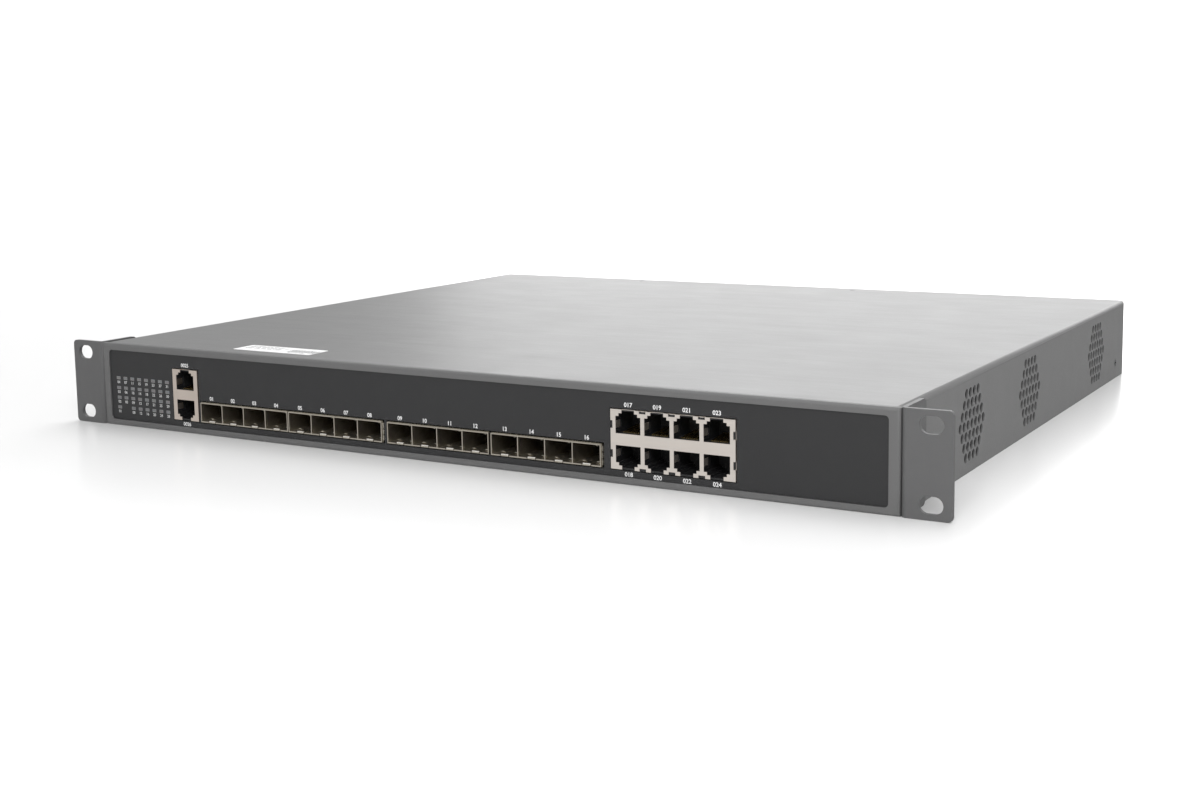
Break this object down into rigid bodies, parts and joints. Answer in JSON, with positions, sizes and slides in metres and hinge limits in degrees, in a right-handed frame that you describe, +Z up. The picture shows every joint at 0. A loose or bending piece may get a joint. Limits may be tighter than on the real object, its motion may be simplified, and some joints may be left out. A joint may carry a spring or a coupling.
{
  "type": "rackmount network switch",
  "caption": "One-unit rackmount network switch with ganged SFP ports, stacked network jacks, side fans and removable power supplies.",
  "frame": {"origin": "centre of the footprint's bounding box, on the surface the switch stands on", "axes": "+X to the right as seen from the port side, along the width; +Y from the port side to the rear; +Z up"},
  "size_m": [0.4826, 0.4122, 0.044],
  "materials": {
    "galvanised_sheet": "zinc-coated sheet, satin",
    "grey_paint": "satin powder coat, fine texture",
    "ear_paint": "satin powder coat, fine texture",
    "overlay_film": "matt printed film",
    "light_pipe": "clear to milky, polished face",
    "screw_steel": "nickel plated",
    "label_white": "matt paper label",
    "board_green": "solder mask, glossy",
    "standoff_brass": "turned",
    "cage_metal": "tin-plated copper alloy sheet",
    "spring_metal": "tin-plated spring strip",
    "connector_black": "moulded",
    "jack_shield": "nickel-plated sheet",
    "contact_gold": "gold plated",
    "console_shield_metal": "nickel-plated sheet",
    "led_white": "moulded package",
    "chip_black": "moulded package",
    "heatsink_aluminium": "anodised extrusion",
    "capacitor_can": "polymer can",
    "inductor_ferrite": "moulded powder core",
    "header_ivory": "moulded nylon",
    "fan_black": "glass-filled moulding",
    "rotor_black": "moulding",
    "lead_insulation": "wire insulation",
    "backplane_blue": "solder mask",
    "harness_yellow": "wire insulation",
    "supply_sheet": "zinc-coated sheet, satin",
    "supply_parts": "populated board",
    "inlet_black": "moulded",
    "rocker_black": "moulded",
    "handle_chrome": "polished rod",
    "thumbscrew_steel": "nickel plated, fluted",
    "ground_brass": "plated hexagon screw"
  },
  "bodies": {
    "chassis": {"chassis_base": "galvanised_sheet", "front_panel": "galvanised_sheet", "top_cover": "grey_paint", "front_bezel": "grey_paint", "front_overlay": "overlay_film", "light_pipes": "light_pipe", "ear_left": "ear_paint", "ear_right": "ear_paint", "case_screws": "screw_steel", "top_label": "label_white", "main_board": "board_green", "standoffs": "standoff_brass", "pan_screws": "screw_steel", "sfp_cage_1": "cage_metal", "sfp_cage_2": "cage_metal", "sfp_cage_3": "cage_metal", "sfp_cage_4": "cage_metal", "cage_springs": "spring_metal", "sfp_connectors": "connector_black", "rj45_shield": "jack_shield", "rj45_housing": "connector_black", "console_shield": "console_shield_metal", "console_housing": "connector_black", "jack_inserts": "connector_black", "jack_contacts": "contact_gold", "led_board": "board_green", "status_leds": "led_white", "switch_chip": "chip_black", "switch_heatsink": "heatsink_aluminium", "cpu_chip": "chip_black", "cpu_heatsink": "heatsink_aluminium", "port_chips": "chip_black", "memory_chips": "chip_black", "capacitors": "capacitor_can", "inductors": "inductor_ferrite", "board_headers": "header_ivory", "fan_bracket": "galvanised_sheet", "fan_frame_1": "fan_black", "fan_frame_2": "fan_black", "fan_frame_3": "fan_black", "fan_leads": "lead_insulation", "power_bay": "galvanised_sheet", "power_backplane": "backplane_blue", "power_harness": "harness_yellow", "ground_screw": "ground_brass"},
    "rotor_1": {"fan_rotor_1": "rotor_black"},
    "rotor_2": {"fan_rotor_2": "rotor_black"},
    "rotor_3": {"fan_rotor_3": "rotor_black"},
    "supply_1": {"supply_case_1": "supply_sheet", "supply_board_1": "supply_parts", "supply_inlet_1": "inlet_black", "supply_handle_1": "handle_chrome"},
    "rocker_body_1": {"rocker_1": "rocker_black"},
    "thumbscrew_body_1": {"thumbscrew_1": "thumbscrew_steel"},
    "supply_2": {"supply_case_2": "supply_sheet", "supply_board_2": "supply_parts", "supply_inlet_2": "inlet_black", "supply_handle_2": "handle_chrome"},
    "rocker_body_2": {"rocker_2": "rocker_black"},
    "thumbscrew_body_2": {"thumbscrew_2": "thumbscrew_steel"}
  },
  "joints": [
    {"name": "fan_spin_1", "type": "hinge", "parent": "chassis", "child": "rotor_1", "pos_m": [0.2076, -0.11376, 0.0215], "axis": [1, 0, 0], "continuous": true},
    {"name": "fan_spin_2", "type": "hinge", "parent": "chassis", "child": "rotor_2", "pos_m": [0.2076, -0.0209, 0.0215], "axis": [1, 0, 0], "continuous": true},
    {"name": "fan_spin_3", "type": "hinge", "parent": "chassis", "child": "rotor_3", "pos_m": [0.2076, 0.11435, 0.0215], "axis": [1, 0, 0], "continuous": true},
    {"name": "supply_slide_1", "type": "slide", "parent": "chassis", "child": "supply_1", "axis": [0, 1, 0], "range_m": [0, 0.16]},
    {"name": "rocker_hinge_1", "type": "hinge", "parent": "supply_1", "child": "rocker_body_1", "pos_m": [-0.14, 0.17985, 0.021], "axis": [1, 0, 0], "range_deg": [0, 20]},
    {"name": "thumbscrew_turn_1", "type": "hinge", "parent": "supply_1", "child": "thumbscrew_body_1", "pos_m": [-0.1245, 0.18445, 0.021], "axis": [0, 1, 0], "continuous": true},
    {"name": "supply_slide_2", "type": "slide", "parent": "chassis", "child": "supply_2", "axis": [0, 1, 0], "range_m": [0, 0.16]},
    {"name": "rocker_hinge_2", "type": "hinge", "parent": "supply_2", "child": "rocker_body_2", "pos_m": [-0.053, 0.17985, 0.021], "axis": [1, 0, 0], "range_deg": [0, 20]},
    {"name": "thumbscrew_turn_2", "type": "hinge", "parent": "supply_2", "child": "thumbscrew_body_2", "pos_m": [-0.0375, 0.18445, 0.021], "axis": [0, 1, 0], "continuous": true}
  ]
}
